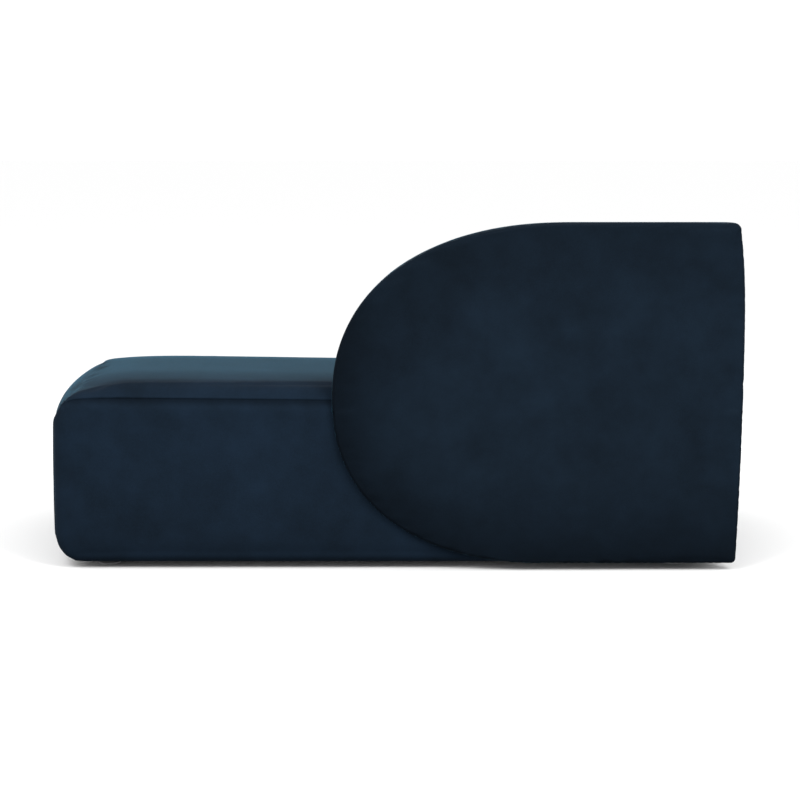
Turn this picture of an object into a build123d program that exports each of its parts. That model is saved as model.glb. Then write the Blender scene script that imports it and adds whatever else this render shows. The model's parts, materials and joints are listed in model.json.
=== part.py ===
from build123d import *
import math
import os

# Upholstered daybed: a long low seat block with one D-shaped padded back on its rear side.
# Frame: origin on the floor under the middle, +X to the head end, +Y to the front (sitting) side, +Z up.
# All sizes are in millimetres.

os.makedirs("parts", exist_ok=True)

# ---- Overall sizes ----
daybed_length = 1680.0
seat_depth = 900.0
back_height = 822.0            # underside of the upholstery to the top of the back
floor_gap = 17.0               # height of the feet, floor to underside
back_length = 985.0
back_thickness = 200.0         # above the seat, outer face to sitting face
back_proud = 30.0              # how far the back's outer face stands off the seat's rear face

# ---- Seat block shape ----
seat_edge_height = 411.0       # underside to the rim of the top
seat_crown = 32.0              # rise of the top from its rim to the middle, along the length
seat_cross_crown = 40.0        # the same across the depth, where the ends don't cut it lower
band_height = 397.0            # underside to the seam between side band and top cover
foot_end_bow = 27.0            # outward curve of the foot end in plan
head_end_bow = 10.0
end_top_radius = 71.0          # rounding where the top turns down the two ends
end_bottom_radius = 59.0
front_top_radius = 60.0
rear_top_radius = 14.0
long_bottom_radius = 8.0
front_corner_radius = 173.0    # plan corners on the sitting side
rear_corner_radius = 26.0
seat_head_margin = 4.0         # seat's head end stops this far short of the back's

# ---- Back shape ----
tip_height = 390.0             # underside to the tip of the rounded end
upper_reach = 581.0            # length of the rounded end above its tip, as far as the straight top
lower_reach = 503.0            # the same below the tip, as far as the straight bottom
upper_power = 2.30             # superellipse powers of the two quarters
lower_power = 2.19
back_end_bulge = 9.0           # outward curve of the back's upright end
back_corner_radius = 15.0
back_face_radius = 46.0        # rounding of the sitting face's edge
least_corner_radius = 1.0
arc_steps = 8                  # curve points in each quarter of the rounded end

# ---- Cloth and foam ----
cloth = 1.5
rear_pad = 30.0
front_pad = 60.0
end_pad = 80.0
core_height = 120.0
felt_thickness = 3.0
back_outer_foam = 10.5
back_inner_foam = 60.0
rim_foam = 12.0

# ---- Seat frame ----
rail_thickness = 22.0
rail_height = 240.0
cross_rail_drop = 70.0         # cross rails sit this far below the rail tops, clear of the springs
cross_rail_count = 2
block_leg = 100.0
block_height = 60.0
block_screw_near = 20.0        # screws into each leg of a corner block, from the rails' corner
block_screw_far = 78.0
block_screw_heights = (18.0, 42.0)

# ---- Springs ----
spring_count = 9
spring_width = 50.0
spring_wire = 4.0
spring_bend = 16.0             # radius of each bend at the wire's centre
spring_end_inset = 15.0        # least distance from a rail's outer face to the end of a spring
tie_wire = 3.0
tie_wire_offset = 150.0        # from the middle line to each tie wire
clip_sheet = 1.2
clip_width = 16.0
clip_play = 0.2
clip_overcut = 1.0             # the hollow of a clip is cut this far past its mouth

# ---- Feet ----
foot_diameter = 60.0
foot_edge_radius = 2.0
foot_pad_diameter = 52.0
foot_pad_thickness = 3.0
foot_stud_diameter = 8.0
foot_stud_engage = 9.0         # depth of the stud in the foot
foot_stud_length = 52.0
foot_inset = 42.0              # foot centre from the inside faces of the two rails

# ---- Back frame ----
outer_board = 18.0
inner_board = 9.0
post_width = 45.0
rim_strip = 6.0
foot_post_setback = 180.0      # foot post, from the tip of the rounded end
seat_clearance = 2.0           # between the crown of the seat and the underside of the back

# ---- Fasteners ----
bolt_diameter = 8.0
bolt_head_diameter = 14.0
bolt_head_height = 4.5
washer_diameter = 24.0
washer_thickness = 2.0
bolt_columns = (150.0, 430.0, 710.0)
bolt_rows = (90.0, 200.0)      # heights above the underside
spacer_size = 60.0
tee_nut_barrel = 11.0
tee_nut_flange = 24.0
tee_nut_sheet = 1.6
tee_nut_length = 12.0
screw_diameter = 4.5
screw_head_diameter = 9.0
screw_head_height = 2.8
screw_length = 38.0
board_screw_shares = (0.3, 0.5, 0.7)  # up each post, of the height between the seat and the outline
bore_clearance = 0.5           # around bolts and studs that pass through
same_place = 0.01              # corners this close to a line lie on it

# ---- Places worked out from the sizes ----
underside = floor_gap
rear_face = -(seat_depth + back_proud) / 2
seat_rear = rear_face + back_proud
seat_front = seat_rear + seat_depth
foot_x = -daybed_length / 2
head_x = daybed_length / 2
seat_head_x = head_x - seat_head_margin
seat_top = underside + seat_edge_height + seat_crown

frame_rear = seat_rear + cloth + rear_pad
frame_front = seat_front - cloth - front_pad
frame_foot = foot_x + cloth + end_pad
frame_head = seat_head_x - cloth - end_pad
frame_bottom = underside + cloth
rail_top = frame_bottom + rail_height
inside_rear = frame_rear + rail_thickness
inside_front = frame_front - rail_thickness
inside_foot = frame_foot + rail_thickness
inside_head = frame_head - rail_thickness

spring_z = rail_top + clip_sheet + clip_play + spring_wire / 2
clip_top = spring_z + spring_wire / 2 + clip_play + clip_sheet
tie_wire_z = spring_z + spring_wire / 2 + tie_wire / 2
felt_bottom = max(clip_top, tie_wire_z + tie_wire / 2)
core_bottom = felt_bottom + felt_thickness
core_top = core_bottom + core_height

back_foot_x = head_x - back_length
upper_start_x = back_foot_x + upper_reach
lower_start_x = back_foot_x + lower_reach
tip_z = underside + tip_height
foot_post_x = back_foot_x + foot_post_setback
middle_post_x = upper_start_x
back_top = underside + back_height
back_middle_z = underside + back_height / 2
box_bottom = seat_top + seat_clearance
outer_board_face = rear_face + cloth + back_outer_foam
cavity_rear = outer_board_face + outer_board
sitting_face = rear_face + back_thickness
foam_rear = sitting_face - cloth - back_inner_foam
cavity_front = foam_rear - inner_board
board_inset = cloth + rim_foam


def block(x0, x1, y0, y1, z0, z1):
    """Rectangular piece between two corners."""
    middle = Pos((x0 + x1) / 2, (y0 + y1) / 2, (z0 + z1) / 2)
    return middle * Box(x1 - x0, y1 - y0, z1 - z0)


def rod(start, direction, length, diameter):
    """Round bar from start along direction."""
    place = Plane(origin=start, z_dir=direction)
    return extrude(place * Circle(diameter / 2), length)


def group(pieces):
    """Several separate pieces kept under one name."""
    solids = []
    for piece in pieces:
        solids.extend(piece.solids())
    return Compound(solids)


def save(name, shape):
    export_step(shape, f"parts/{name}.step")


# ================= Seat block: the padded form =================

def seat_side_view(inset):
    """Side elevation: crowned top, large roundings at both ends."""
    left = foot_x + inset
    right = seat_head_x - inset
    low = underside + inset
    rim = underside + seat_edge_height - inset
    middle = ((left + right) / 2, rim + seat_crown)
    top = ThreePointArc((right, rim), middle, (left, rim))
    outline = Polyline((left, rim), (left, low), (right, low), (right, rim))
    face = make_face([outline, top])
    lower = face.vertices().sort_by(Axis.Y)[:2]
    face = fillet(lower, end_bottom_radius - inset)
    upper = face.vertices().sort_by(Axis.Y)[-2:]
    return fillet(upper, end_top_radius - inset)


def seat_end_view(inset):
    """End elevation: crowned top, waterfall front edge, firm rear edge."""
    rear = seat_rear + inset
    front = seat_front - inset
    low = underside + inset
    rim = underside + seat_edge_height - inset
    middle = ((rear + front) / 2, rim + seat_cross_crown)
    top = ThreePointArc((front, rim), middle, (rear, rim))
    outline = Polyline((rear, rim), (rear, low), (front, low), (front, rim))
    face = make_face([outline, top])
    lower = face.vertices().sort_by(Axis.Y)[:2]
    face = fillet(lower, long_bottom_radius - inset)
    upper = face.vertices().sort_by(Axis.Y)[-2:].sort_by(Axis.X)
    face = fillet(upper[:1], rear_top_radius - inset)
    upper = face.vertices().filter_by(lambda v: abs(v.X - front) < same_place).sort_by(Axis.Y)[-1:]
    return fillet(upper, front_top_radius - inset)


def seat_plan(inset):
    """Plan: bowed ends, wide corners at the front, tight ones at the rear."""
    rear = seat_rear + inset
    front = seat_front - inset
    middle_y = (rear + front) / 2
    foot_corner = foot_x + inset + foot_end_bow
    head_corner = seat_head_x - inset - head_end_bow
    foot = ThreePointArc((foot_corner, front), (foot_x + inset, middle_y), (foot_corner, rear))
    head = ThreePointArc((head_corner, rear), (seat_head_x - inset, middle_y), (head_corner, front))
    rear_line = Line((foot_corner, rear), (head_corner, rear))
    front_line = Line((head_corner, front), (foot_corner, front))
    face = make_face([foot, rear_line, head, front_line])
    rear_corners = face.vertices().sort_by(Axis.Y)[:2]
    face = fillet(rear_corners, rear_corner_radius - inset)
    front_corners = face.vertices().sort_by(Axis.Y)[-2:]
    return fillet(front_corners, front_corner_radius - inset)


def seat_form(inset):
    """Seat block shrunk by inset on every side."""
    side = extrude(Plane.XZ * seat_side_view(inset), daybed_length, both=True)
    end = extrude(Plane.YZ * seat_end_view(inset), daybed_length, both=True)
    plan = extrude(seat_plan(inset), daybed_length)
    return side & end & plan


def seat_layer(form, low, high):
    """Part of the seat form between two heights."""
    return form & block(foot_x, head_x, rear_face, seat_front, low, high)


# ================= Back: the D-shaped form =================

def arc_point(angle, inset):
    """Point on the rounded end; angle runs from straight up (90) to straight down (270) degrees."""
    upper = angle <= 180
    reach = upper_reach if upper else lower_reach
    half = back_top - tip_z if upper else underside - tip_z
    power = 2 / (upper_power if upper else lower_power)
    along = abs(math.cos(math.radians(angle))) ** power
    rise = abs(math.sin(math.radians(angle))) ** power
    x = back_foot_x + reach - (reach - inset) * along
    z = tip_z + (half - math.copysign(inset, half)) * rise
    return (x, z)


def arc_height(x, inset):
    """Height of the rounded end's upper outline above a place x."""
    share = min(max((upper_start_x - x) / (upper_reach - inset), 0), 1)
    return tip_z + (back_top - tip_z - inset) * (1 - share ** upper_power) ** (1 / upper_power)


def back_side_view(inset):
    """D outline in side elevation: rounded foot end, straight top and bottom, bulged upright end."""
    angles = [90 + 90 * k / arc_steps for k in range(2 * arc_steps + 1)]
    points = [arc_point(angle, inset) for angle in angles]
    rounded = Spline(points, tangents=[(-1, 0), (1, 0)])
    low = underside + inset
    high = back_top - inset
    corner_x = head_x - inset - back_end_bulge
    bottom = Line((lower_start_x, low), (corner_x, low))
    upright = ThreePointArc((corner_x, low), (head_x - inset, back_middle_z), (corner_x, high))
    top = Line((corner_x, high), (upper_start_x, high))
    face = make_face([rounded, bottom, upright, top])
    corners = face.vertices().filter_by(lambda v: abs(v.X - corner_x) < same_place)
    return fillet(corners, max(back_corner_radius - inset, least_corner_radius))


def back_slab(inset, y0, y1):
    """D-shaped slab between two depths."""
    flat = Plane.XZ * back_side_view(inset)
    return Pos(0, y0, 0) * extrude(flat, -(y1 - y0))


def above_seat(shape, low):
    """Part of a back piece that stands above the seat."""
    return shape & block(back_foot_x, head_x, rear_face, seat_front, low, back_top)


def sitting_pad(inset):
    """Rounded pad on the sitting face, shrunk by inset."""
    slab = back_slab(inset, foam_rear, sitting_face - inset)
    rim = slab.faces().sort_by(Axis.Y)[-1].edges()
    return fillet(rim, back_face_radius - inset)


# ================= Fasteners =================

def screw(start, direction):
    """Countersunk wood screw with its head at start, running along direction."""
    place = Plane(origin=start, z_dir=direction)
    head = place * Cone(screw_head_diameter / 2, screw_diameter / 2, screw_head_height,
                        align=(Align.CENTER, Align.CENTER, Align.MIN))
    return head + rod(start, direction, screw_length, screw_diameter)


def tee_nut(face_point, direction):
    """Tee nut with its flange at face_point and its barrel along direction."""
    flange = rod(face_point, direction, tee_nut_sheet, tee_nut_flange)
    barrel = rod(face_point, direction, tee_nut_length, tee_nut_barrel)
    bore = rod(face_point, direction, tee_nut_length, bolt_diameter)
    return flange + barrel - bore


def spacer_block(x, z):
    """Square block between the seat's rear rail and the back, in a gap in the foam."""
    half = spacer_size / 2
    return block(x - half, x + half, seat_rear + cloth, frame_rear, z - half, z + half)


bolt_places = []
for column in bolt_columns:
    for row in bolt_rows:
        bolt_places.append((column, underside + row))

bolts = []
bolt_bores = []
washers = []
back_tee_nuts = []
back_tee_nut_seats = []
spacers = []
bolt_reach = inside_rear - outer_board_face
for x, z in bolt_places:
    head_start = inside_rear + washer_thickness
    washer = rod((x, inside_rear, z), (0, 1, 0), washer_thickness, washer_diameter)
    washers.append(washer - rod((x, inside_rear, z), (0, 1, 0), washer_thickness, bolt_diameter))
    shank = rod((x, head_start, z), (0, -1, 0), bolt_reach, bolt_diameter)
    head = rod((x, head_start, z), (0, 1, 0), bolt_head_height, bolt_head_diameter)
    bolts.append(shank + head)
    bore = rod((x, inside_rear, z), (0, -1, 0), bolt_reach, bolt_diameter + 2 * bore_clearance)
    bolt_bores.append(bore)
    back_tee_nuts.append(tee_nut((x, outer_board_face, z), (0, 1, 0)))
    seat_flange = rod((x, outer_board_face, z), (0, 1, 0), tee_nut_sheet, tee_nut_flange)
    seat_barrel = rod((x, outer_board_face, z), (0, 1, 0), tee_nut_length, tee_nut_barrel)
    back_tee_nut_seats.append(seat_flange + seat_barrel)
    spacers.append(spacer_block(x, z) - bore)
bolt_bores = group(bolt_bores)
back_tee_nut_seats = group(back_tee_nut_seats)
spacer_seats = group([spacer_block(x, z) for x, z in bolt_places])

# ================= Feet and corner blocks =================

foot_places = []
for x_side in (-1, 1):
    for y_side in (-1, 1):
        x = inside_foot + foot_inset if x_side < 0 else inside_head - foot_inset
        y = inside_rear + foot_inset if y_side < 0 else inside_front - foot_inset
        foot_places.append((x, y))

feet = []
foot_pads = []
studs = []
stud_bores = []
foot_tee_nuts = []
foot_tee_nut_seats = []
stud_start = underside - foot_stud_engage
block_top = frame_bottom + block_height
for x, y in foot_places:
    stud = rod((x, y, stud_start), (0, 0, 1), foot_stud_length, foot_stud_diameter)
    studs.append(stud)
    stud_bores.append(rod((x, y, underside), (0, 0, 1), block_top - underside,
                          foot_stud_diameter + 2 * bore_clearance))
    foot = rod((x, y, foot_pad_thickness), (0, 0, 1), underside - foot_pad_thickness, foot_diameter)
    rims = foot.edges().filter_by(GeomType.CIRCLE)
    feet.append(fillet(rims, foot_edge_radius) - stud)
    foot_pads.append(rod((x, y, 0), (0, 0, 1), foot_pad_thickness, foot_pad_diameter))
    foot_tee_nuts.append(tee_nut((x, y, block_top), (0, 0, -1)))
    nut_flange = rod((x, y, block_top), (0, 0, -1), tee_nut_sheet, tee_nut_flange)
    nut_barrel = rod((x, y, block_top), (0, 0, -1), tee_nut_length, tee_nut_barrel)
    foot_tee_nut_seats.append(nut_flange + nut_barrel)
stud_bores = group(stud_bores)
foot_tee_nut_seats = group(foot_tee_nut_seats)

# Screws through each corner block into its two rails.
block_screws = []
for x_side in (-1, 1):
    for y_side in (-1, 1):
        corner_x = inside_foot if x_side < 0 else inside_head
        corner_y = inside_rear if y_side < 0 else inside_front
        for height in block_screw_heights:
            z = frame_bottom + height
            across = (corner_x - x_side * block_screw_far, corner_y - y_side * block_screw_near, z)
            along = (corner_x - x_side * block_screw_near, corner_y - y_side * block_screw_far, z)
            block_screws.append(screw(across, (0, y_side, 0)))
            block_screws.append(screw(along, (x_side, 0, 0)))
block_screws = group(block_screws)

corner_blocks = []
for x_side in (-1, 1):
    for y_side in (-1, 1):
        corner_x = inside_foot if x_side < 0 else inside_head
        corner_y = inside_rear if y_side < 0 else inside_front
        triangle = Polyline((corner_x, corner_y), (corner_x - x_side * block_leg, corner_y),
                            (corner_x, corner_y - y_side * block_leg), close=True)
        wedge = Pos(0, 0, frame_bottom) * extrude(make_face(triangle), block_height)
        corner_blocks.append(wedge - stud_bores - foot_tee_nut_seats - block_screws)

save("foot_glides", group(feet))
save("foot_felt_pads", group(foot_pads))
save("foot_studs", group(studs))
save("foot_tee_nuts", group(foot_tee_nuts))
save("corner_block_screws", block_screws)
save("corner_blocks", group(corner_blocks))

# ================= Seat frame =================

rear_rail = block(frame_foot, frame_head, frame_rear, inside_rear, frame_bottom, rail_top)
front_rail = block(frame_foot, frame_head, inside_front, frame_front, frame_bottom, rail_top)
foot_rail = block(frame_foot, inside_foot, inside_rear, inside_front, frame_bottom, rail_top)
head_rail = block(inside_head, frame_head, inside_rear, inside_front, frame_bottom, rail_top)
save("seat_rear_rail", rear_rail - bolt_bores - block_screws)
save("seat_front_rail", front_rail - block_screws)
save("seat_foot_rail", foot_rail - block_screws)
save("seat_head_rail", head_rail - block_screws)

cross_rail_top = rail_top - cross_rail_drop
cross_rail_step = (inside_head - inside_foot) / (cross_rail_count + 1)
for number in range(1, cross_rail_count + 1):
    x = inside_foot + cross_rail_step * number
    cross = block(x - rail_thickness / 2, x + rail_thickness / 2, inside_rear, inside_front,
                  frame_bottom, cross_rail_top)
    save(f"seat_cross_rail_{number}", cross)

# ================= Springs =================

def sinuous_spring(x):
    """Zigzag wire in one plane, from the rear rail to the front rail."""
    reach = spring_width / 2 - spring_bend
    run = frame_front - frame_rear - 2 * spring_end_inset
    turns = int(run // (2 * spring_bend))
    y = (frame_rear + frame_front) / 2 - turns * spring_bend
    side = 1
    pieces = [Line((x - reach, y, spring_z), (x + reach, y, spring_z))]
    for _ in range(turns):
        bend_x = x + side * reach
        top_y = y + 2 * spring_bend
        middle = (bend_x + side * spring_bend, y + spring_bend, spring_z)
        pieces.append(ThreePointArc((bend_x, y, spring_z), middle, (bend_x, top_y, spring_z)))
        pieces.append(Line((bend_x, top_y, spring_z), (x - side * reach, top_y, spring_z)))
        side = -side
        y = top_y
    path = Wire(pieces)
    section = Plane(origin=path @ 0, z_dir=path % 0) * Circle(spring_wire / 2)
    return sweep(section, path), y


def spring_clip(x, y, side):
    """Folded clip on a rail top, open towards the middle of the seat."""
    inner = spring_wire / 2 + clip_play
    back_y = y + side * (inner + clip_sheet)
    mouth_y = y - side * spring_wire
    low, high = sorted((back_y, mouth_y))
    body = block(x - clip_width / 2, x + clip_width / 2, low, high, rail_top, clip_top)
    hollow_low, hollow_high = sorted((y + side * inner, mouth_y - side * clip_overcut))
    hollow = block(x - clip_width, x + clip_width, hollow_low, hollow_high,
                   rail_top + clip_sheet, clip_top - clip_sheet)
    return body - hollow


springs = []
clips = []
spring_step = (inside_head - inside_foot) / spring_count
for number in range(spring_count):
    x = inside_foot + spring_step * (number + 0.5)
    spring, last_y = sinuous_spring(x)
    first_y = frame_rear + frame_front - last_y
    springs.append(spring)
    clips.append(spring_clip(x, first_y, -1))
    clips.append(spring_clip(x, last_y, 1))
save("sinuous_springs", group(springs))
save("spring_clips", group(clips))

tie_wires = []
for side in (-1, 1):
    start = (inside_foot, side * tie_wire_offset, tie_wire_z)
    tie_wires.append(rod(start, (1, 0, 0), inside_head - inside_foot, tie_wire))
save("spring_tie_wires", group(tie_wires))

# ================= Seat foam and cloth =================

padding = seat_form(cloth)
shell = seat_form(0) - padding

felt = block(frame_foot, frame_head, frame_rear, frame_front, felt_bottom, core_bottom)
save("deck_felt", felt)
save("seat_core_foam", seat_layer(padding, core_bottom, core_top))
save("seat_topper", seat_layer(padding, core_top, seat_top))

pads = seat_layer(padding, frame_bottom, core_bottom)
rear_foam = pads & block(foot_x, head_x, rear_face, frame_rear, 0, back_top)
front_foam = pads & block(foot_x, head_x, frame_front, seat_front, 0, back_top)
foot_foam = pads & block(foot_x, frame_foot, frame_rear, frame_front, 0, back_top)
head_foam = pads & block(frame_head, head_x, frame_rear, frame_front, 0, back_top)
save("seat_rear_pad", rear_foam - spacer_seats)
save("seat_front_pad", front_foam)
save("seat_foot_end_pad", foot_foam)
save("seat_head_end_pad", head_foam)

band_top = underside + band_height
rear_seam = seat_rear + rear_corner_radius
front_seam = seat_front - front_corner_radius
band = seat_layer(shell, frame_bottom, band_top)
rear_band = band & block(foot_x, head_x, seat_rear, rear_seam, 0, back_top)
front_band = band & block(foot_x, head_x, front_seam, seat_front, 0, back_top)
middle_band = band & block(foot_x, head_x, rear_seam, front_seam, 0, back_top)
save("seat_top_cover", seat_layer(shell, band_top, seat_top))
save("seat_rear_cover", rear_band - bolt_bores)
save("seat_front_cover", front_band)
save("seat_foot_end_cover", middle_band & block(foot_x, 0, seat_rear, seat_front, 0, back_top))
save("seat_head_end_cover", middle_band & block(0, head_x, seat_rear, seat_front, 0, back_top))
save("dust_cover", seat_layer(shell, underside, frame_bottom) - stud_bores)

# ================= Back structure =================

board_screws = []
head_post_x = head_x - board_inset - back_end_bulge - post_width
for post_x in (foot_post_x, middle_post_x, head_post_x):
    x = post_x + post_width / 2
    for share in board_screw_shares:
        z = box_bottom + (arc_height(x, board_inset) - box_bottom) * share
        board_screws.append(screw((x, outer_board_face, z), (0, 1, 0)))
board_screws = group(board_screws)

outer_board_slab = back_slab(board_inset, outer_board_face, cavity_rear)
save("back_outer_board", outer_board_slab - bolt_bores - back_tee_nut_seats - board_screws)
inner_slab = back_slab(board_inset, cavity_front, foam_rear)
save("back_inner_board", above_seat(inner_slab, box_bottom + cloth))

sill_low = box_bottom + cloth
sill_high = sill_low + post_width
rail_low = back_top - board_inset - post_width
cavity = above_seat(back_slab(board_inset, cavity_rear, cavity_front), sill_low)
strip_core = back_slab(board_inset + rim_strip, cavity_rear, cavity_front)
curved_half = block(back_foot_x, upper_start_x, cavity_rear, cavity_front, sill_low, back_top)
rim_piece = (cavity & curved_half) - strip_core
save("back_rim_strip", rim_piece)

head_post = cavity & block(head_post_x, head_x, cavity_rear, cavity_front, sill_low, back_top)
save("back_head_post", head_post - board_screws)
top_rail = cavity & block(upper_start_x, head_post_x, cavity_rear, cavity_front, rail_low, back_top)
save("back_top_rail", top_rail)
sill = (cavity - rim_piece) & block(back_foot_x, head_post_x, cavity_rear, cavity_front,
                                    sill_low, sill_high)
save("back_sill", sill)
foot_post = (cavity - rim_piece) & block(foot_post_x, foot_post_x + post_width, cavity_rear,
                                         cavity_front, sill_high, back_top)
save("back_foot_post", foot_post - board_screws)
middle_post = block(middle_post_x, middle_post_x + post_width, cavity_rear, cavity_front,
                    sill_high, rail_low)
save("back_middle_post", middle_post - board_screws)

save("back_bolts", group(bolts))
save("back_bolt_washers", group(washers))
save("back_tee_nuts", group(back_tee_nuts))
save("back_spacer_blocks", group(spacers))
save("back_board_screws", board_screws)

# ================= Back foam and cloth =================

save("back_outer_foam", back_slab(board_inset, rear_face + cloth, outer_board_face))
save("back_sitting_foam", above_seat(sitting_pad(cloth), sill_low))


def back_ring(outer_inset, inner_inset, y_start):
    """Band round the D: narrow below the seat top, as deep as the frame above it."""
    narrow = back_slab(outer_inset, y_start, cavity_rear) - back_slab(inner_inset, y_start, cavity_rear)
    deep = back_slab(outer_inset, cavity_rear, foam_rear) - back_slab(inner_inset, cavity_rear, foam_rear)
    return narrow + above_seat(deep, sill_low)


save("back_rim_foam", back_ring(cloth, board_inset, rear_face + cloth))
save("back_rim_cover", back_ring(0, cloth, rear_face + cloth))
save("back_outer_cover", back_slab(0, rear_face, rear_face + cloth))
save("back_sitting_cover", above_seat(sitting_pad(0) - sitting_pad(cloth), sill_low))
sill_cloth = back_slab(0, cavity_rear, sitting_face)
save("back_sill_cover", sill_cloth & block(back_foot_x, head_x, cavity_rear, sitting_face,
                                          box_bottom, sill_low))
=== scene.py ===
import json
import math

import bpy
import numpy as np
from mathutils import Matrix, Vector


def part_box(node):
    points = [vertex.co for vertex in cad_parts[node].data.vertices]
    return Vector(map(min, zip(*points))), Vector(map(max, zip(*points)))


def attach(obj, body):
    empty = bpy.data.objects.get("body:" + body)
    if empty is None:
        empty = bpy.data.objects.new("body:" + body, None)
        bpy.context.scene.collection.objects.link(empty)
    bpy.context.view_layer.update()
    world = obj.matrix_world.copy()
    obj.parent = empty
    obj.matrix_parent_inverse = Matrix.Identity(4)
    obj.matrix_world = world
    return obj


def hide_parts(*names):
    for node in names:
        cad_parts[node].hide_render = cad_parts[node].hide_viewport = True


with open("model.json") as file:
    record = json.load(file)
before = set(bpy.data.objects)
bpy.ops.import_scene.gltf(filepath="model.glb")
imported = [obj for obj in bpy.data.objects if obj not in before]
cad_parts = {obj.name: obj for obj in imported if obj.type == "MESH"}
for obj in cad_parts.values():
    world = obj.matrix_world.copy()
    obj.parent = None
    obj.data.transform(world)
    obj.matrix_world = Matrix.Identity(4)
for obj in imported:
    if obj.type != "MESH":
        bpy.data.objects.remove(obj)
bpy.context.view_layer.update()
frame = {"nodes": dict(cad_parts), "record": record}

MM = 0.001

# ---------------------------------------------------------------- places, from the frame

foot_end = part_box("seat_foot_end_cover")[0].x
head_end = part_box("seat_head_end_cover")[1].x
seat_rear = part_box("seat_rear_cover")[0].y
seat_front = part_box("seat_front_cover")[1].y
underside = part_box("dust_cover")[0].z
tip_inset = 1.5 * MM            # the padded tip of the back stands this far inside its cover's CAD box
back_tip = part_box("back_outer_cover")[0].x + tip_inset
back_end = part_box("back_outer_cover")[1].x
back_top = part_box("back_outer_cover")[1].z
back_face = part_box("back_outer_cover")[0].y
sitting_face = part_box("back_sitting_cover")[1].y
upper_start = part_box("back_top_rail")[0].x

# ---------------------------------------------------------------- soft shapes

seat_rim = underside + 405.6 * MM   # where the rolled top would meet the front and the ends
rear_lift = 31 * MM             # the top stands this much higher along the rear edge
lift_reach = 180 * MM           # and is level again this near the ends
seat_crown = 11 * MM
end_reach = 313 * MM            # from each edge to where the crown is level
rear_reach = 300 * MM
front_reach = 255 * MM
rear_drop = 8 * MM              # the top eases down towards the rear edge
rear_roll = 100 * MM
edge_drop = 26 * MM             # and rolls over it to the seam
edge_roll = 40 * MM
foot_bow = 28.8 * MM            # how far the foot end's middle stands out past its corners
head_bow = 10 * MM
rear_corner = 26 * MM           # rounding of the upright edges beside the back
front_corner = 133 * MM
end_roll = 74.6 * MM            # how far the top rolls over at the ends and the front
end_roll_power = 2.36
end_tuck = 59 * MM              # rounding under the two ends
front_tuck = 22 * MM
rear_tuck = 20 * MM
tuck_change = 260 * MM          # over which the ends' tuck gives way to the front's
end_belly = 3.5 * MM            # the ends stand out this much at mid height
seat_sag = 0.013                # the top falls this much per metre run, away from the foot end
sag_run = 700 * MM
seam_start = underside + 402 * MM   # the seat's side seam at the foot end
seam_fall = 0.010               # and its fall per metre towards the head end
seam_groove = 1.3 * MM          # the sewn line itself
seam_line = 1.6 * MM
seam_pull = 2.5 * MM            # how far the cloth beside it is drawn in
seam_spread = 14 * MM
most_move = 2 * MM              # the pressure moves the cover no further than this
cloth_frames = 20
padding_pressure = 4.0
spare_cloth = 0.003             # the cover is cut this share larger than the foam
cloth_weight = 0.3              # kg for each point's share
cloth_stiffness = 1.5
pucker = 0.5 * MM               # gathers of the cloth beside a seam
pucker_pitch = 21 * MM
pucker_reach = 26 * MM
pucker_clear = 4 * MM           # the sewn line itself stays straight
slow_drift = (1.7, 31.0)        # the puckers' spacing wanders: how much, and how fast along the seam
quick_drift = (0.9, 73.0)
corner_gather = 1.1 * MM        # folds that fan out from the corner of a seam
corner_reach = 60 * MM
corner_clear = 10 * MM
fold_count = 9.0
fold_centre = 12 * MM

lining_inset = 62 * MM
lining_sag = 3 * MM
lining_thickness = 1 * MM

tip_z = underside + 390 * MM    # the rounded end's tip
lower_start = back_tip + 503 * MM   # where the rounded end meets the straight foot
upper_power = 2.30              # 2 would be an ellipse; more is squarer
lower_power = 2.19
end_bulge = 13 * MM             # the upright end's corners stand this far back from its middle
end_swell = 4 * MM              # the upright end's padding stands this far past the frame's line
bulge_z = underside + 523 * MM  # where the upright end stands furthest out
top_corner = 15 * MM
bottom_corner = 12 * MM
outer_edge = 9 * MM
sitting_edge = 70 * MM
beside_seat_edge = 4 * MM       # rounding where the thin lower part meets the seat's rear face
past_seat_face = 1 * MM         # the thin part presses this far into the seat
rim_lean = 0.06                 # the top of the back falls towards the sitting side
outer_crown = 10.5 * MM
rim_seam = 16 * MM              # the face panel's seam lies this far round the edge
edge_shade_reach = 250 * MM           # over which the back's face is painted darker towards the rounded edge: painted shade where the domed padding turns from the light
edge_shade_power = 1.5
edge_shade_lost_above = 0.55          # share of that painted shade gone at the top of the back
outer_reach = 240 * MM
sitting_crown = 18 * MM
sitting_reach = 140 * MM
sink = 45 * MM                  # the back's foot presses this far below the seat's highest line
rim_seam_share = 0.6            # the back's rim seam is this much as deep as the seat's
seam_painted_shade = 0.8                 # painted shade beside the seat's seam, in the roll down to it
# how far the painted shade reaches above and below the seam
seam_shade_above = 23.5 * MM
seam_shade_below = 14 * MM
hem_painted_shade = 0.3                  # and a little painted shade towards the stapled lower edge
hem_shade_reach = 150 * MM


def meet(a, b, radius, power=2.0):
    """Distance inside two faces that meet in a rounded edge."""
    over_a = np.maximum(radius - a, 0.0)
    over_b = np.maximum(radius - b, 0.0)
    rounded = radius - (over_a ** power + over_b ** power) ** (1.0 / power)
    return np.where((a < radius) | (b < radius), rounded, np.minimum(a, b))


def ease(low, high, value):
    """Smooth step from 0 at low to 1 at high."""
    t = np.clip((value - low) / (high - low), 0.0, 1.0)
    return t * t * (3.0 - 2.0 * t)


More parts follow.
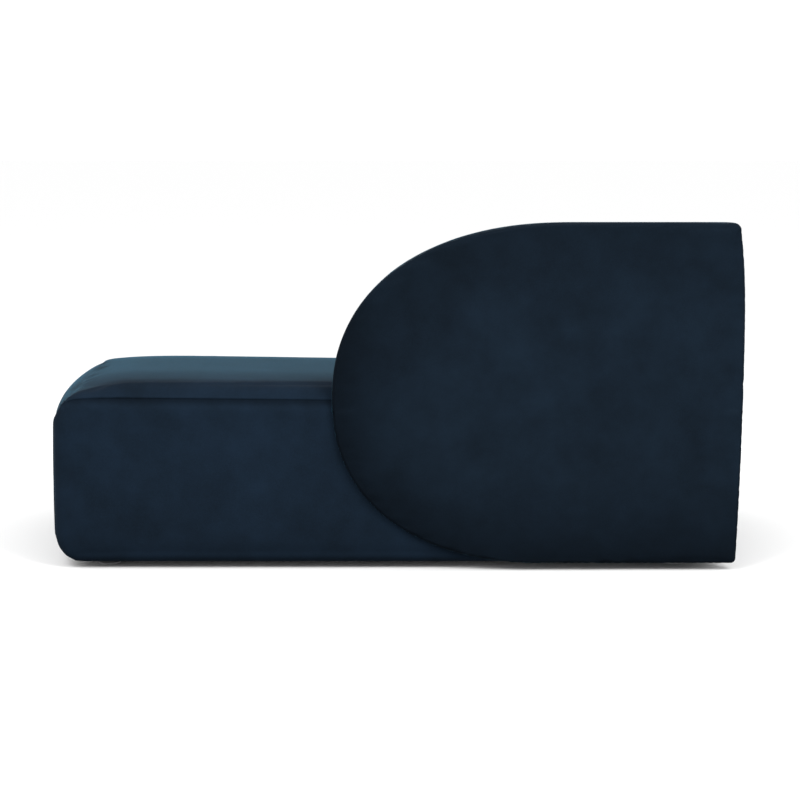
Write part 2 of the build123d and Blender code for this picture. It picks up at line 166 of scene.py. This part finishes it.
def seat_inside(p):
    """Distance inside the upholstered seat block, below zero outside it."""
    x, y, z = p[:, 0], p[:, 1], p[:, 2]
    across = (2.0 * y - seat_rear - seat_front) / (seat_front - seat_rear)
    foot = x - foot_end - foot_bow * across ** 2
    head = head_end - head_bow * across ** 2 - x
    rear = y - seat_rear
    front = seat_front - y
    belly = end_belly * np.sin(math.pi * np.clip((z - underside) / (seat_rim - underside), 0.0, 1.0))
    end = np.minimum(foot, head) + belly
    inward = meet(end / end_reach, np.minimum(rear / rear_reach, front / front_reach), 1.0)
    crown = seat_crown * (1.0 - (1.0 - np.clip(inward, 0.0, 1.0)) ** 2)
    drop = rear_drop * np.clip(1.0 - rear / rear_roll, 0.0, 1.0) ** 2
    drop = drop + edge_drop * np.clip(1.0 - rear / edge_roll, 0.0, 1.0) ** 2
    lift = rear_lift * np.clip(front / (seat_front - seat_rear), 0.0, 1.0)
    fall = seat_sag * np.clip(x - foot_end, 0.0, sag_run)
    top = seat_rim + crown + (lift - drop) * ease(0.0, lift_reach, end) - fall - z
    low = z - underside
    around = meet(end, front, front_corner)
    upper = meet(around, top, end_roll, end_roll_power)
    tuck = front_tuck + (end_tuck - front_tuck) * ease(0.0, tuck_change, front)
    body = np.minimum(upper, meet(around, low, tuck))
    height_share = low / np.maximum(low + np.maximum(end, 0.0), 1e-6)
    rear_round = rear_tuck + (rear_corner - rear_tuck) * ease(0.3, 0.7, height_share)
    return meet(body, rear, rear_round)


def round_edge_inside(x, z):
    """Distance inside the rounded end with its straight top and foot, seen from the side."""
    above = z >= tip_z
    reach = np.where(above, upper_start, lower_start) - back_tip
    half = np.where(above, back_top - tip_z, tip_z - underside)
    power = np.where(above, upper_power, lower_power)
    dx = np.maximum(back_tip + reach - x, 0.0) / reach
    dz = np.abs(z - tip_z) / half
    rho = np.maximum(dx ** power + dz ** power, 1e-9) ** (1.0 / power)
    slope_x = (dx / rho) ** (power - 1.0) / reach
    slope_z = (dz / rho) ** (power - 1.0) / half
    return (1.0 - rho) / np.maximum(np.hypot(slope_x, slope_z), 0.5)


def outline_inside(x, z):
    """Distance inside the D outline, seen from the side."""
    corner = np.where(z >= tip_z, top_corner, bottom_corner)
    return meet(round_edge_inside(x, z), upright_end(z) - x, corner)


def upright_end(z):
    """How far out the back's upright end stands at a height."""
    upper = np.clip((z - bulge_z) / (back_top - bulge_z), 0.0, 1.0) ** 3
    lower = np.clip((bulge_z - z) / (bulge_z - underside), 0.0, 1.0) ** 2
    return back_end + end_swell - end_bulge * (upper + lower)


def back_inside(p, low):
    """Distance inside the padded back. Where low is set, only the thin part beside the seat counts."""
    x, y, z = p[:, 0], p[:, 1], p[:, 2]
    edge = outline_inside(x, z)
    swell = 1.0 - (1.0 - np.clip(edge / sitting_reach, 0.0, 1.0)) ** 2
    flat = (1.0 - np.clip(edge / outer_reach, 0.0, 1.0)) ** 2
    depth = y - back_face - outer_crown * flat
    lean = rim_lean * np.maximum(depth - 2 * outer_edge, 0.0)
    rim = edge - np.where(low, 0.0, lean)
    full = sitting_face - sitting_crown * (1.0 - swell) - y
    thin = seat_rear + past_seat_face - y
    inner = np.where(low, meet(rim, thin, beside_seat_edge), meet(rim, full, sitting_edge))
    return np.minimum(meet(rim, depth, outer_edge), inner)


def settle(points, inside, rounds=14):
    """Moves points along the form's own slope until they lie on its surface."""
    step = 0.2 * MM
    longest_move = 20 * MM
    p = points.copy()
    for _ in range(rounds):
        value = inside(p)
        slope = np.empty_like(p)
        for axis in range(3):
            shift = np.zeros(3)
            shift[axis] = step
            slope[:, axis] = (inside(p + shift) - inside(p - shift)) / (2 * step)
        size = np.maximum((slope ** 2).sum(1), 1e-6)
        move = -(value / size)[:, None] * slope
        length = np.linalg.norm(move, axis=1)
        move *= np.minimum(1.0, longest_move / np.maximum(length, 1e-9))[:, None]
        p += move
    return p


# ---------------------------------------------------------------- grids

def stations(low, high, spacing, edge, fine):
    """Places from low to high, spacing apart, closer together within edge of both ends."""
    near = max(2, round(edge / fine))
    middle = max(2, round((high - low - 2 * edge) / spacing))
    first = np.linspace(low, low + edge, near, endpoint=False)
    centre = np.linspace(low + edge, high - edge, middle, endpoint=False)
    last = np.linspace(high - edge, high, near + 1)
    return np.concatenate([first, centre, last])


def with_seam(places, seam, reach, fine):
    """The same places, with close rows on both sides of a seam."""
    keep = places[np.abs(places - seam) > reach]
    rows = seam + np.arange(-round(reach / fine), round(reach / fine) + 1) * fine
    return np.sort(np.concatenate([keep, rows]))


def box_skin(counts):
    """Quads over the six sides of a grid of counts, and the grid index of each point."""
    nx, ny, nz = counts
    index = {}
    order = []

    def point(i, j, k):
        key = (i, j, k)
        if key not in index:
            index[key] = len(order)
            order.append(key)
        return index[key]

    faces = []
    for k, flip in ((0, True), (nz - 1, False)):
        for i in range(nx - 1):
            for j in range(ny - 1):
                quad = [point(i, j, k), point(i + 1, j, k), point(i + 1, j + 1, k), point(i, j + 1, k)]
                faces.append(quad[::-1] if flip else quad)
    for j, flip in ((0, False), (ny - 1, True)):
        for i in range(nx - 1):
            for k in range(nz - 1):
                quad = [point(i, j, k), point(i + 1, j, k), point(i + 1, j, k + 1), point(i, j, k + 1)]
                faces.append(quad[::-1] if flip else quad)
    for i, flip in ((0, True), (nx - 1, False)):
        for j in range(ny - 1):
            for k in range(nz - 1):
                quad = [point(i, j, k), point(i, j + 1, k), point(i, j + 1, k + 1), point(i, j, k + 1)]
                faces.append(quad[::-1] if flip else quad)
    return np.array(order), faces


def add_mesh(name, points, faces):
    """A smooth-shaded object from points in metres and lists of point numbers."""
    mesh = bpy.data.meshes.new(name)
    mesh.from_pydata([tuple(p) for p in points], [], faces)
    mesh.validate()
    mesh.shade_smooth()
    piece = bpy.data.objects.new(name, mesh)
    bpy.context.scene.collection.objects.link(piece)
    return piece


def seam_height_at(x):
    """Height of the seat's side seam at a place along it."""
    return seam_start - seam_fall * (x - foot_end)


def normals_of(points, inside):
    """Outward directions of the form at points on its surface."""
    step = 0.5 * MM
    slope = np.empty_like(points)
    for axis in range(3):
        shift = np.zeros(3)
        shift[axis] = step
        slope[:, axis] = inside(points - shift) - inside(points + shift)
    return slope / np.maximum(np.linalg.norm(slope, axis=1), 1e-9)[:, None]


def seam_depth(away):
    """How far the cloth is drawn in at a distance from a sewn line."""
    groove = seam_groove * np.exp(-(away / seam_line) ** 2)
    return groove + seam_pull * np.exp(-(away / seam_spread) ** 2)


def plumped(points, faces, out, held):
    """Cloth simulation: the cover is held at its sewn and stapled lines, and the padding presses it
    out from the foam's form until the cloth is tight."""
    cover = add_mesh("cover_in_the_making", points, faces)
    lines = cover.vertex_groups.new(name="held_lines")
    lines.add([int(i) for i in np.flatnonzero(held)], 1.0, "REPLACE")
    cloth = cover.modifiers.new("padding_pressure", "CLOTH")
    cloth.settings.quality = 2
    cloth.settings.mass = cloth_weight
    cloth.settings.use_pressure = True
    cloth.settings.uniform_pressure_force = padding_pressure
    cloth.settings.shrink_min = -spare_cloth
    cloth.settings.bending_stiffness = cloth_stiffness
    cloth.settings.vertex_group_mass = lines.name
    cloth.settings.effector_weights.gravity = 0.0
    cloth.collision_settings.use_collision = False
    cloth.point_cache.frame_start = 1
    cloth.point_cache.frame_end = cloth_frames
    for frame_number in range(1, cloth_frames + 1):
        bpy.context.scene.frame_set(frame_number)
    pressed = cover.evaluated_get(bpy.context.evaluated_depsgraph_get()).data
    place = np.empty(len(points) * 3)
    pressed.vertices.foreach_get("co", place)
    bpy.context.scene.frame_set(1)
    cover_mesh = cover.data
    bpy.data.objects.remove(cover)
    bpy.data.meshes.remove(cover_mesh)
    pressed_out = ((place.reshape(-1, 3) - points) * out).sum(1)
    return points + out * (most_move * np.tanh(pressed_out / most_move))[:, None]


def gathers(points, away):
    """Small puckers beside the seat's seam, and a few folds fanning out from its rear foot corner."""
    x, y, z = points[:, 0], points[:, 1], points[:, 2]
    run = x + y
    drift = slow_drift[0] * np.sin(run * slow_drift[1])
    wave = np.sin(2 * math.pi * run / pucker_pitch + drift + quick_drift[0] * np.sin(run * quick_drift[1]))
    beside = pucker * wave * np.exp(-(away / pucker_reach) ** 2) * ease(0.0, pucker_clear, np.abs(away))
    corner_x = x - foot_end - rear_corner - foot_bow
    corner_z = z - seam_height_at(x)
    apart = np.sqrt(corner_x ** 2 + (y - seat_rear) ** 2 + corner_z ** 2)
    fan = np.sin(fold_count * np.arctan2(corner_z, corner_x + fold_centre))
    folds = corner_gather * fan * np.exp(-(apart / corner_reach) ** 2) * ease(0.0, corner_clear, apart)
    return beside + folds


def set_painted_shade(piece, lean):
    """Stores how much painted shade darkens the velvet at each point."""
    layer = piece.data.attributes.new("painted_shade", "FLOAT", "POINT")
    layer.data.foreach_set("value", lean.astype(np.float32))


def make_seat():
    """The seat's velvet cover over its padding: one closed skin, with the seam round its sides."""
    spacing = 12 * MM
    xs = stations(foot_end, head_end, spacing, edge=60 * MM, fine=6 * MM)
    ys = stations(seat_rear, seat_front, spacing, edge=60 * MM, fine=5 * MM)
    zs = stations(underside, seat_rim, spacing, edge=30 * MM, fine=4 * MM)
    zs = with_seam(zs, seam_start, reach=8 * MM, fine=1 * MM)
    order, faces = box_skin((len(xs), len(ys), len(zs)))
    points = np.stack([xs[order[:, 0]], ys[order[:, 1]], zs[order[:, 2]]], axis=1)
    on_side = (order[:, 2] > 0) & (order[:, 2] < len(zs) - 1)
    share = (seam_height_at(points[:, 0]) - underside) / (seam_start - underside)
    points[:, 2] = underside + (points[:, 2] - underside) * share
    points = settle(points, seat_inside)
    out = normals_of(points, seat_inside)
    above = points[:, 2] - seam_height_at(points[:, 0])
    away = np.where(on_side, above, 1.0)
    held = (np.abs(away) < 0.6 * MM) | (points[:, 2] < underside + 2 * MM)
    points = plumped(points, faces, out, held)
    drawn_in = seam_depth(away) + gathers(points, away)
    points -= out * drawn_in[:, None]
    seat = add_mesh("seat_cushion", points, faces)
    # Painted shade: darker in the roll beside the seam and towards the lower edge.
    lean = seam_painted_shade * np.exp(-(away / np.where(away > 0.0, seam_shade_above, seam_shade_below)) ** 2)
    lean += hem_painted_shade * (1.0 - ease(0.0, hem_shade_reach, points[:, 2] - underside))
    set_painted_shade(seat, lean)
    return seat


def make_back():
    """The back's velvet cover: full depth above the seat, and only as deep as it stands proud below."""
    cliff = seat_rim + seat_crown - sink
    rows = np.linspace(0.0, math.pi / 2, 60)
    lower_rows = tip_z - (tip_z - underside) * np.cos(rows)
    upper_rows = tip_z + (back_top - tip_z) * np.sin(rows[1:])
    zs = np.concatenate([lower_rows, upper_rows])
    zs = zs[np.abs(zs - cliff) > 3 * MM]
    low_rows = int((zs < cliff).sum()) + 1
    zs = np.sort(np.concatenate([zs, [cliff, cliff + 1 * MM]]))
    columns = stations(0.0, 1.0, 0.012, edge=0.03, fine=0.003)
    depths = stations(0.0, 1.0, 0.06, edge=0.15, fine=0.012)
    order, faces = box_skin((len(columns), len(depths), len(zs)))
    z = zs[order[:, 2]]
    above = z >= tip_z
    reach = np.where(above, upper_start, lower_start) - back_tip
    tall = np.clip(np.abs(z - tip_z) / np.where(above, back_top - tip_z, tip_z - underside), 0.0, 1.0)
    power = np.where(above, upper_power, lower_power)
    left = back_tip + reach - reach * (1.0 - tall ** power) ** (1.0 / power)
    x = left + (upright_end(z) - left) * columns[order[:, 0]]
    low = order[:, 2] < low_rows
    thickness = np.where(low, seat_rear + past_seat_face - back_face, sitting_face - back_face)
    y = back_face + thickness * depths[order[:, 1]]

    def inside(p):
        return back_inside(p, low)

    points = settle(np.stack([x, y, z], axis=1), inside)
    out = normals_of(points, inside)
    on_rim = (order[:, 1] > 0) & (order[:, 1] < len(depths) - 1)
    away = np.where(on_rim, points[:, 1] - back_face - rim_seam, 1.0)
    foot = (points[:, 2] > cliff - 2 * MM) & (points[:, 2] < cliff + 4 * MM) & (points[:, 1] > seat_rear)
    beside_seat = low & (order[:, 1] == len(depths) - 1)
    held = (np.abs(away) < 1.5 * MM) | foot | beside_seat
    points = plumped(points, faces, out, held)
    points -= out * (rim_seam_share * seam_depth(away))[:, None]
    back = add_mesh("back_cushion", points, faces)
    # Painted shade: the outer face is darkened towards the rounded edge, less near the top, not on the rim
    # or sitting side.
    rim = round_edge_inside(points[:, 0], points[:, 2])
    lean = (1.0 - np.clip(rim / edge_shade_reach, 0.0, 1.0)) ** edge_shade_power
    lean *= 1.0 - edge_shade_lost_above * ease(tip_z, back_top, points[:, 2])
    lean *= points[:, 1] < back_face + 3 * outer_edge
    set_painted_shade(back, lean)
    return back


def make_lining():
    """Dust cloth stapled under the frame, sagging slightly between the rails."""
    along = np.linspace(-1.0, 1.0, 65)
    across = np.linspace(-1.0, 1.0, 33)
    u, v = np.meshgrid(along, across, indexing="ij")
    half_length = (head_end - foot_end) / 2 - lining_inset
    half_depth = (seat_front - seat_rear) / 2 - lining_inset
    x = (foot_end + head_end) / 2 + half_length * u
    y = (seat_rear + seat_front) / 2 + half_depth * v
    bays = np.abs(np.sin(1.5 * math.pi * (u + 1.0)))
    low = underside - lining_sag * bays * (1.0 - v ** 2)   # lowest in the middle of its three bays
    count = u.size
    points = np.concatenate([np.stack([x, y, low], axis=-1).reshape(-1, 3),
                             np.stack([x, y, low + lining_thickness], axis=-1).reshape(-1, 3)])
    rows, columns = u.shape
    faces = []
    for i in range(rows - 1):
        for j in range(columns - 1):
            a = i * columns + j
            quad = [a, a + columns, a + columns + 1, a + 1]
            faces.append(quad[::-1])
            faces.append([corner + count for corner in quad])
    edge = list(range(columns)) + [i * columns + columns - 1 for i in range(1, rows)]
    edge += [(rows - 1) * columns + j for j in range(columns - 2, -1, -1)]
    edge += [i * columns for i in range(rows - 2, 0, -1)]
    for first, second in zip(edge, edge[1:] + edge[:1]):
        faces.append([first, second, second + count, first + count])
    return add_mesh("dust_lining", points, faces)


# ---------------------------------------------------------------- materials

def linear(code):
    """Linear colour of an sRGB hex code such as #1b2532."""
    parts = [int(code[n:n + 2], 16) / 255 for n in (1, 3, 5)]
    return tuple([c / 12.92 if c <= 0.04045 else ((c + 0.055) / 1.055) ** 2.4 for c in parts] + [1.0])


def add(tree, kind, links=(), **settings):
    """Adds a node, sets its properties and inputs, and links (input, source socket) pairs to it."""
    node = tree.nodes.new("ShaderNode" + kind)
    for key, value in settings.items():
        if hasattr(node, key):
            setattr(node, key, value)
        else:
            node.inputs[key.replace("_", " ")].default_value = value
    for socket, source in links:
        tree.links.new(source, node.inputs[socket])
    return node


def new_material(name):
    """A material with an empty node tree, and the tree."""
    material = bpy.data.materials.new(name)
    material.use_nodes = True
    material.node_tree.nodes.clear()
    return material, material.node_tree


def finish_material(tree, surface):
    """Links the surface to the material's output."""
    out = add(tree, "OutputMaterial")
    tree.links.new(surface.outputs[0], out.inputs["Surface"])


def navy_velvet(name, deep, raised):
    """Short cut-pile cotton velvet, woven and brushed: dark face on, a cool haze at low angles,
    and cloudy patches where the pile leans a little differently. Painted shade, stored on each piece,
    darkens it in places."""
    material, tree = new_material(name)
    place = add(tree, "TexCoord")
    # cloudy patches about 70 mm and 220 mm across; pile tufts are 0.3 mm, drawn at 2.4 mm to show
    cloud = add(tree, "TexNoise", [("Vector", place.outputs["Object"])],
                Scale=14.0, Detail=4.0, Roughness=0.6)
    broad = add(tree, "TexNoise", [("Vector", place.outputs["Object"])],
                Scale=4.5, Detail=2.0, Roughness=0.5)
    pile = add(tree, "TexNoise", [("Vector", place.outputs["Object"])],
               Scale=420.0, Detail=3.0, Roughness=0.7)
    lean = add(tree, "Math", [(0, cloud.outputs["Fac"]), (1, broad.outputs["Fac"])],
               operation="ADD")
    mixed = add(tree, "Math", [(0, lean.outputs[0]), (1, pile.outputs["Fac"])], operation="ADD")
    tone = add(tree, "MapRange", [("Value", mixed.outputs[0])])
    tone.inputs["From Min"].default_value = 1.1
    tone.inputs["From Max"].default_value = 1.9
    colour = add(tree, "Mix", [(0, tone.outputs[0])], data_type="RGBA")
    colour.inputs[6].default_value = linear(deep)
    colour.inputs[7].default_value = linear(raised)
    # Painted shade: the colour is darkened, to 0.42 of itself where the stored shade is full.
    shade_attribute = add(tree, "Attribute", attribute_name="painted_shade")
    shade = add(tree, "MapRange", [("Value", shade_attribute.outputs["Fac"])])
    shade.inputs["To Min"].default_value = 1.0
    shade.inputs["To Max"].default_value = 0.42
    darkened = add(tree, "VectorMath", [(0, colour.outputs[2]), ("Scale", shade.outputs[0])],
                   operation="SCALE")
    bump = add(tree, "Bump", [("Height", pile.outputs["Fac"])], Strength=0.25, Distance=0.0006)
    cloth = add(tree, "BsdfPrincipled", [("Base Color", darkened.outputs[0]),
                                         ("Normal", bump.outputs[0])])
    cloth.inputs["Roughness"].default_value = 0.9
    cloth.inputs["Specular IOR Level"].default_value = 0.035
    cloth.inputs["Sheen Weight"].default_value = 0.36
    cloth.inputs["Sheen Roughness"].default_value = 0.15
    cloth.inputs["Sheen Tint"].default_value = linear("#5ca8c9")
    finish_material(tree, cloth)
    return material


def dust_cloth():
    """Black spunbond polypropylene: thin, papery, pressed through with a grid of small weld dimples.
    The eye sees a dull black with a faint regular speckle and slightly grey fibres."""
    material, tree = new_material("black_spunbond_dust_cloth")
    place = add(tree, "TexCoord")
    # the real dimples are 1.5 mm apart; drawn at 4 mm so that they show from a step away
    dimples = add(tree, "TexVoronoi", [("Vector", place.outputs["Object"])],
                  Scale=250.0, Randomness=0.15)
    fibres = add(tree, "TexNoise", [("Vector", place.outputs["Object"])], Scale=600.0, Detail=4.0)
    colour = add(tree, "Mix", [(0, fibres.outputs["Fac"])], data_type="RGBA")
    colour.inputs[6].default_value = linear("#121212")
    colour.inputs[7].default_value = linear("#262627")
    bump = add(tree, "Bump", [("Height", dimples.outputs["Distance"])], Strength=0.5, Distance=0.0002)
    cloth = add(tree, "BsdfPrincipled", [("Base Color", colour.outputs[2]), ("Normal", bump.outputs[0])],
                Roughness=0.85)
    cloth.inputs["Sheen Weight"].default_value = 0.1
    finish_material(tree, cloth)
    return material


def cut_foam():
    """Polyurethane foam, poured in blocks and cut with a wire: cream, matt and full of 0.8 mm open cells,
    yellower in patches where light has aged it."""
    material, tree = new_material("cream_cut_foam")
    place = add(tree, "TexCoord")
    # real cells are 0.8 mm; drawn at 2.5 mm
    cells = add(tree, "TexVoronoi", [("Vector", place.outputs["Object"])], Scale=400.0)
    ageing = add(tree, "TexNoise", [("Vector", place.outputs["Object"])], Scale=5.0, Detail=3.0)
    colour = add(tree, "Mix", [(0, ageing.outputs["Fac"])], data_type="RGBA")
    colour.inputs[6].default_value = linear("#efe6c8")
    colour.inputs[7].default_value = linear("#dccb98")
    bump = add(tree, "Bump", [("Height", cells.outputs["Distance"])], Strength=0.6, Distance=0.0006)
    foam = add(tree, "BsdfPrincipled", [("Base Color", colour.outputs[2]), ("Normal", bump.outputs[0])],
               Roughness=0.95)
    finish_material(tree, foam)
    return material


def needled_felt(name, dark, light):
    """Waste-fibre felt, needled flat: grey, hairy and mottled, with stray paler fibres."""
    material, tree = new_material(name)
    place = add(tree, "TexCoord")
    # clumps about 11 mm across; single hairs are 0.03 mm thick, drawn at 2 mm to show
    mottle = add(tree, "TexNoise", [("Vector", place.outputs["Object"])],
                 Scale=90.0, Detail=6.0, Roughness=0.7)
    hairs = add(tree, "TexNoise", [("Vector", place.outputs["Object"])],
                Scale=500.0, Detail=3.0, Distortion=3.0)
    colour = add(tree, "Mix", [(0, mottle.outputs["Fac"])], data_type="RGBA")
    colour.inputs[6].default_value = linear(dark)
    colour.inputs[7].default_value = linear(light)
    bump = add(tree, "Bump", [("Height", hairs.outputs["Fac"])], Strength=0.7, Distance=0.0008)
    felt = add(tree, "BsdfPrincipled", [("Base Color", colour.outputs[2]), ("Normal", bump.outputs[0])],
               Roughness=0.95)
    felt.inputs["Sheen Weight"].default_value = 0.25
    finish_material(tree, felt)
    return material


def bare_wood(name, pale, dark, band_scale, roughness):
    """Unfinished wood, sawn or peeled and lightly sanded: pale wood in broad, slightly darker bands, a
    fine furry grain drawn out lengthways, and a dull face, a little smoother on the dark bands."""
    material, tree = new_material(name)
    place = add(tree, "TexCoord")
    long_way = add(tree, "Mapping", [("Vector", place.outputs["Object"])], Scale=(0.06, 1.0, 1.0))
    bands = add(tree, "TexWave", [("Vector", long_way.outputs[0])], Scale=band_scale, Distortion=6.0,
                Detail=3.0)
    grain = add(tree, "TexNoise", [("Vector", long_way.outputs[0])], Scale=600.0, Detail=4.0)
    colour = add(tree, "Mix", [(0, bands.outputs["Fac"])], data_type="RGBA")
    colour.inputs[6].default_value = linear(pale)
    colour.inputs[7].default_value = linear(dark)
    dull = add(tree, "MapRange", [("Value", bands.outputs["Fac"])])
    dull.inputs["To Min"].default_value = roughness + 0.08
    dull.inputs["To Max"].default_value = roughness - 0.05
    bump = add(tree, "Bump", [("Height", grain.outputs["Fac"])], Strength=0.3, Distance=0.0003)
    wood = add(tree, "BsdfPrincipled", [("Base Color", colour.outputs[2]), ("Roughness", dull.outputs[0]),
                                        ("Normal", bump.outputs[0])])
    finish_material(tree, wood)
    return material


def bare_steel(name, dark, light, roughness):
    """Steel wire or zinc-plated fixings, drawn and tumbled: a grey metal with cloudy dull patches and
    fine scratches, rougher where it has been handled."""
    material, tree = new_material(name)
    place = add(tree, "TexCoord")
    clouds = add(tree, "TexNoise", [("Vector", place.outputs["Object"])], Scale=120.0, Detail=4.0)
    scratches = add(tree, "TexNoise", [("Vector", place.outputs["Object"])], Scale=700.0, Detail=2.0)
    colour = add(tree, "Mix", [(0, clouds.outputs["Fac"])], data_type="RGBA")
    colour.inputs[6].default_value = linear(dark)
    colour.inputs[7].default_value = linear(light)
    dull = add(tree, "MapRange", [("Value", clouds.outputs["Fac"])])
    dull.inputs["To Min"].default_value = roughness - 0.1
    dull.inputs["To Max"].default_value = roughness + 0.15
    bump = add(tree, "Bump", [("Height", scratches.outputs["Fac"])], Strength=0.15, Distance=0.0001)
    steel = add(tree, "BsdfPrincipled", [("Base Color", colour.outputs[2]), ("Roughness", dull.outputs[0]),
                                         ("Normal", bump.outputs[0])], Metallic=1.0)
    finish_material(tree, steel)
    return material


def moulded_plastic():
    """Black polypropylene, injection moulded in a spark-eroded tool: a fine even grain, low gloss, and
    paler scuffs where the foot has been pushed over a floor."""
    material, tree = new_material("black_moulded_polypropylene")
    place = add(tree, "TexCoord")
    tool_grain = add(tree, "TexNoise", [("Vector", place.outputs["Object"])], Scale=800.0, Detail=2.0)
    scuffs = add(tree, "TexNoise", [("Vector", place.outputs["Object"])],
                 Scale=60.0, Detail=6.0, Roughness=0.75)
    colour = add(tree, "Mix", [(0, scuffs.outputs["Fac"])], data_type="RGBA")
    colour.inputs[6].default_value = linear("#0c0c0d")
    colour.inputs[7].default_value = linear("#1d1d1f")
    bump = add(tree, "Bump", [("Height", tool_grain.outputs["Fac"])], Strength=0.3, Distance=0.0001)
    plastic = add(tree, "BsdfPrincipled", [("Base Color", colour.outputs[2]), ("Normal", bump.outputs[0])],
                  Roughness=0.55, IOR=1.49)
    finish_material(tree, plastic)
    return material


# Both are the same velvet; the back's copy is a little darker, as painted shade.
velvet_seat = navy_velvet("navy_cut_velvet_seat", "#0d161f", "#131f2c")
velvet_back = navy_velvet("navy_cut_velvet_back", "#0c141c", "#121d28")
finishes = {
    "velvet_seat": velvet_seat,
    "velvet_back": velvet_back,
    "lining_cloth": dust_cloth(),
    "foam": cut_foam(),
    "felt": needled_felt("grey_needled_felt", "#4a4a4c", "#77777a"),
    "plywood": bare_wood("birch_plywood", "#dcbd8f", "#c49c6b", 60.0, 0.6),
    "pine": bare_wood("sawn_pine", "#e3c38f", "#bd8b52", 35.0, 0.7),
    "spring_steel": bare_steel("tempered_spring_wire", "#3b3c3e", "#5b5c60", 0.4),
    "zinc_fasteners": bare_steel("zinc_plated_steel", "#a4a59f", "#cbccc7", 0.35),
    "foot_plastic": moulded_plastic(),
}

for entry in frame["record"]["subparts"]:
    node = frame["nodes"][entry["node"]]
    node.data.materials.clear()
    node.data.materials.append(finishes[entry["material_slot"]])

# ---------------------------------------------------------------- pieces

seat = make_seat()
seat.data.materials.append(velvet_seat)
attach(seat, "root")
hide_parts("seat_top_cover", "seat_rear_cover", "seat_front_cover", "seat_foot_end_cover",
            "seat_head_end_cover", "seat_core_foam", "seat_topper", "seat_rear_pad", "seat_front_pad",
            "seat_foot_end_pad", "seat_head_end_pad")

back = make_back()
back.data.materials.append(velvet_back)
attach(back, "root")
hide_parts("back_outer_cover", "back_rim_cover", "back_sitting_cover", "back_outer_foam",
            "back_sitting_foam", "back_rim_foam", "back_sill_cover")

lining = make_lining()
lining.data.materials.append(finishes["lining_cloth"])
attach(lining, "root")
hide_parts("dust_cover")

# ---------------------------------------------------------------- studio

floor_mesh = bpy.data.meshes.new("studio_floor")
reach = 30.0
floor_mesh.from_pydata([(-reach, -reach, 0), (reach, -reach, 0), (reach, reach, 0), (-reach, reach, 0)],
                       [], [(0, 1, 2, 3)])
floor = bpy.data.objects.new("studio_floor", floor_mesh)
bpy.context.scene.collection.objects.link(floor)
floor_material, floor_tree = new_material("matte_white_floor")
floor_paint = add(floor_tree, "BsdfDiffuse", Color=linear("#e6e6e6"))
finish_material(floor_tree, floor_paint)
floor.data.materials.append(floor_material)
floor.visible_diffuse = False       # a black flag in its place: no bounce onto the velvet from below


def soft_box(name, place, aim, size, watts):
    """Square studio light at place, turned to aim."""
    light = bpy.data.lights.new(name, "AREA")
    light.shape = "SQUARE"
    light.size = size
    light.energy = watts
    lamp = bpy.data.objects.new(name, light)
    lamp.location = place
    way = np.array(aim) - np.array(place)
    lamp.rotation_euler = Vector(way).to_track_quat("-Z", "Y").to_euler()
    bpy.context.scene.collection.objects.link(lamp)
    return lamp


seat_middle = (0.0, 0.0, 0.4)
box_side = 2.0
soft_box("front_left_box", (-2.0, -3.4, 3.2), seat_middle, box_side, watts=110)
soft_box("front_right_box", (2.4, -3.4, 3.2), seat_middle, box_side, watts=140)

# White studio walls, brightest at the horizon, dimmer overhead and below it, and a little brighter
# towards the foot end.
world = bpy.data.worlds.new("white_studio")
bpy.context.scene.world = world
world.use_nodes = True
sky = world.node_tree
way_up = add(sky, "SeparateXYZ", [("Vector", add(sky, "TexCoord").outputs["Generated"])])
dome = add(sky, "MapRange", [("Value", way_up.outputs["Z"])])
dome.inputs["From Min"].default_value = -0.25
dome.inputs["From Max"].default_value = -0.05
dome.inputs["To Min"].default_value = 0.3
dome.inputs["To Max"].default_value = 1.75
brighter_left = add(sky, "Math", [(0, way_up.outputs["X"])], operation="MULTIPLY_ADD")
brighter_left.inputs[1].default_value = -0.12
brighter_left.inputs[2].default_value = 1.0
dimmer_above = add(sky, "MapRange", [("Value", way_up.outputs["Z"])])
dimmer_above.inputs["From Min"].default_value = 0.1
dimmer_above.inputs["To Min"].default_value = 1.0
dimmer_above.inputs["To Max"].default_value = 0.55
level = add(sky, "Math", [(0, dome.outputs[0]), (1, dimmer_above.outputs[0])], operation="MULTIPLY")
strength = add(sky, "Math", [(0, level.outputs[0]), (1, brighter_left.outputs[0])], operation="MULTIPLY")
sky.links.new(strength.outputs[0], sky.nodes["Background"].inputs["Strength"])
sky.nodes["Background"].inputs["Color"].default_value = (1.0, 1.0, 1.0, 1.0)
bpy.context.scene.view_settings.view_transform = "Standard"

# Camera: level with no roll, looking slightly down on the seat's rear face.
camera_pitch = math.radians(7.44)
camera_distance = 5.88
camera_aim = (20 * MM, seat_rear, underside + 397 * MM)
camera_lens = 110.25            # mm, on a 36 mm sensor
camera_data = bpy.data.cameras.new("camera")
camera_data.sensor_width = 36.0
camera_data.lens = camera_lens
camera = bpy.data.objects.new("camera", camera_data)
camera.location = (camera_aim[0],
                   camera_aim[1] - camera_distance * math.cos(camera_pitch),
                   camera_aim[2] + camera_distance * math.sin(camera_pitch))
camera.rotation_euler = (math.pi / 2 - camera_pitch, 0.0, 0.0)
bpy.context.scene.collection.objects.link(camera)
bpy.context.scene.camera = camera
